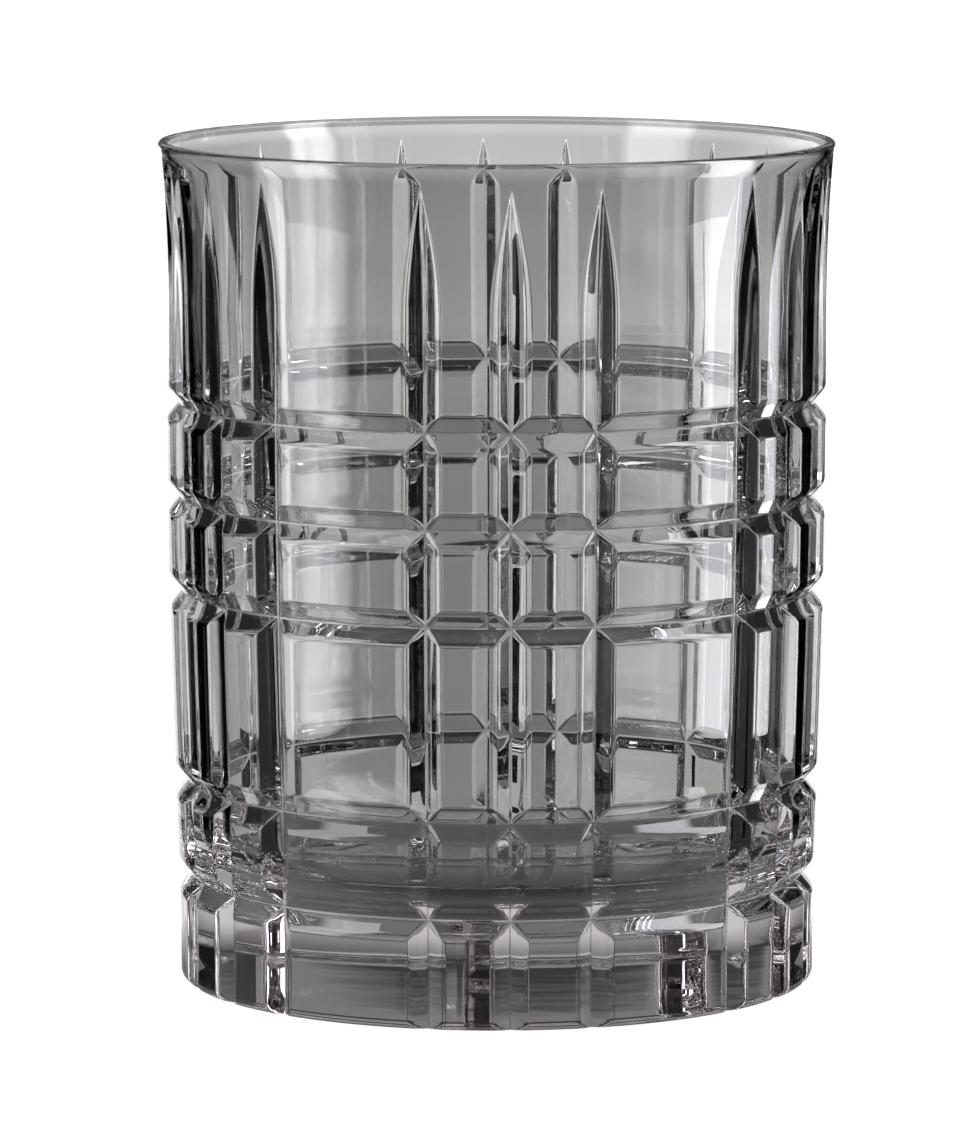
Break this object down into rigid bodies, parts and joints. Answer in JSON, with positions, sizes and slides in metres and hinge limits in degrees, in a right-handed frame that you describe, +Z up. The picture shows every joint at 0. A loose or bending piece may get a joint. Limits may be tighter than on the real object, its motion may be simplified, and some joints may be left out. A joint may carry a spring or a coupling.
{
  "type": "whiskey tumbler",
  "caption": "Straight-sided smoke-grey pressed-glass tumbler with a heavy base and a checked relief of upright and ring V grooves.",
  "frame": {"origin": "centre of the flat face that the glass rests on", "axes": "+Z up along the axis that the glass is turned about; a group of three upright grooves is centred on -Y"},
  "size_m": [0.0818, 0.0818, 0.102],
  "materials": {
    "smoke_glass": "clear smoke-grey glass, fire-polished"
  },
  "bodies": {
    "root": {"tumbler_glass": "smoke_glass"}
  },
  "joints": []
}
